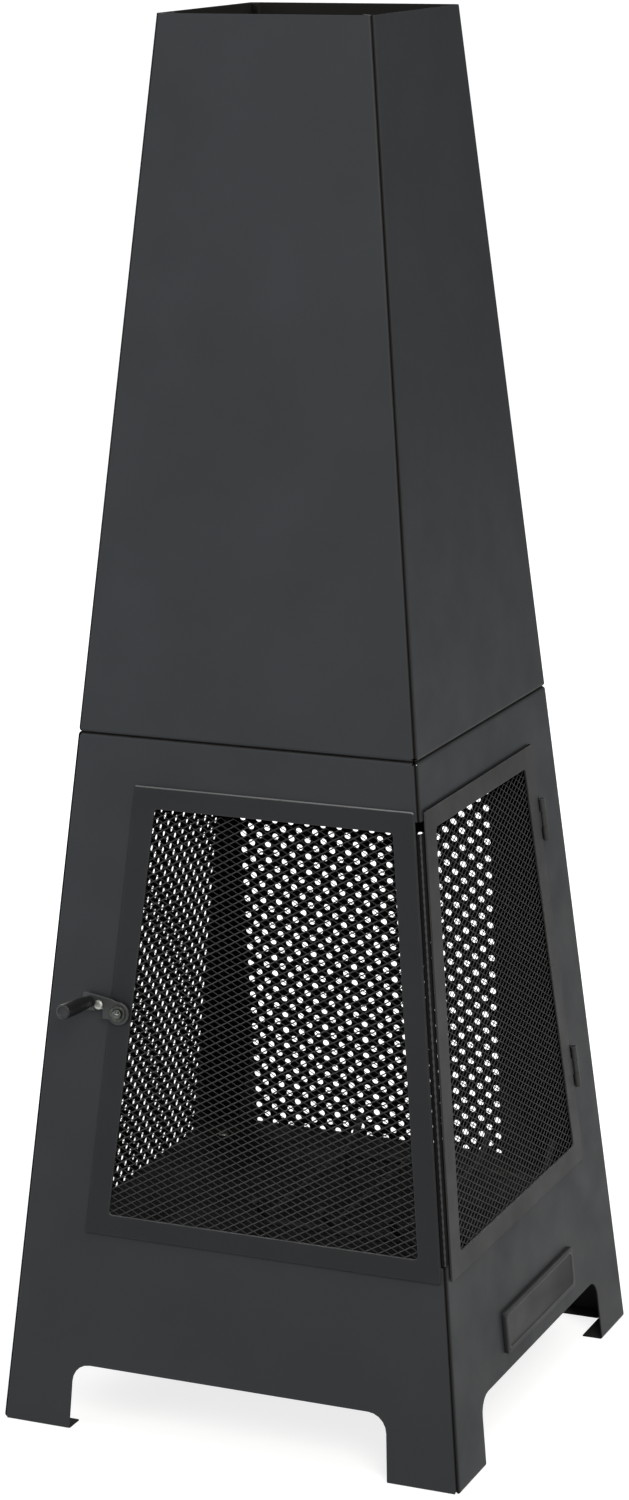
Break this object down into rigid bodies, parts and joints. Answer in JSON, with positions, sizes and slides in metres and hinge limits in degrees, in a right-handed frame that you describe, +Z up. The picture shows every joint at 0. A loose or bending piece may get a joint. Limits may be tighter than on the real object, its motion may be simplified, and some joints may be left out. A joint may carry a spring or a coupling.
{
  "type": "chiminea",
  "caption": "Free-standing tapering square steel chiminea with a chimney, perforated rear panels, a latched mesh door that wraps one corner, and a log grate.",
  "frame": {"origin": "on the ground, under the middle of the whole object's box", "axes": "+Z up; the badge side faces -Y and the latch side faces -X"},
  "size_m": [0.4176, 0.3996, 1.125],
  "materials": {
    "casing_paint": "satin",
    "mesh_paint": "satin",
    "badge_paint": "satin",
    "inner_paint": "matt",
    "grip": "matt",
    "fasteners": "zinc plated"
  },
  "bodies": {
    "body": {"front_panel": "casing_paint", "chimney_front_panel": "casing_paint", "front_seam_bolt": "fasteners", "right_panel": "casing_paint", "chimney_right_panel": "casing_paint", "right_seam_bolt": "fasteners", "back_panel": "casing_paint", "chimney_back_panel": "casing_paint", "back_seam_bolt": "fasteners", "left_panel": "casing_paint", "chimney_left_panel": "casing_paint", "left_seam_bolt": "fasteners", "front_left_floor_bracket": "inner_paint", "front_left_floor_screw": "fasteners", "front_left_foot_bolt": "fasteners", "front_left_shoulder_bolt": "fasteners", "front_left_neck_bolt": "fasteners", "front_left_rim_bolt": "fasteners", "front_right_floor_bracket": "inner_paint", "front_right_floor_screw": "fasteners", "front_right_foot_bolt": "fasteners", "front_right_shoulder_bolt": "fasteners", "front_right_neck_bolt": "fasteners", "front_right_rim_bolt": "fasteners", "back_right_floor_bracket": "inner_paint", "back_right_floor_screw": "fasteners", "back_right_foot_bolt": "fasteners", "back_right_shoulder_bolt": "fasteners", "back_right_neck_bolt": "fasteners", "back_right_rim_bolt": "fasteners", "back_left_floor_bracket": "inner_paint", "back_left_floor_screw": "fasteners", "back_left_foot_bolt": "fasteners", "back_left_shoulder_bolt": "fasteners", "back_left_neck_bolt": "fasteners", "back_left_rim_bolt": "fasteners", "floor_pan": "inner_paint", "fire_grate": "inner_paint", "badge_plate": "badge_paint", "upper_hinge_body_leaf": "casing_paint", "upper_hinge_pin": "fasteners", "upper_hinge_rivet": "casing_paint", "lower_hinge_body_leaf": "casing_paint", "lower_hinge_pin": "fasteners", "lower_hinge_rivet": "casing_paint", "latch_keeper": "fasteners", "latch_keeper_nut": "fasteners"},
    "door": {"door_frame_left": "casing_paint", "door_frame_front": "casing_paint", "door_mesh": "mesh_paint", "upper_hinge_door_leaf": "casing_paint", "lower_hinge_door_leaf": "casing_paint", "latch_screw": "fasteners", "latch_back_washer": "fasteners", "latch_front_washer": "fasteners"},
    "latch": {"latch_lever": "casing_paint", "latch_grip": "grip", "latch_grip_screw": "fasteners"}
  },
  "joints": [
    {"name": "door_hinge", "type": "hinge", "parent": "body", "child": "door", "pos_m": [0.12417, -0.16817, 0.35639], "axis": [-0.0969, 0.0969, 0.9906], "range_deg": [0, 110]},
    {"name": "latch_pivot", "type": "hinge", "parent": "door", "child": "latch", "pos_m": [-0.15695, 0.10043, 0.3484], "axis": [0.9953, 0, -0.0973], "range_deg": [0, 75]}
  ]
}
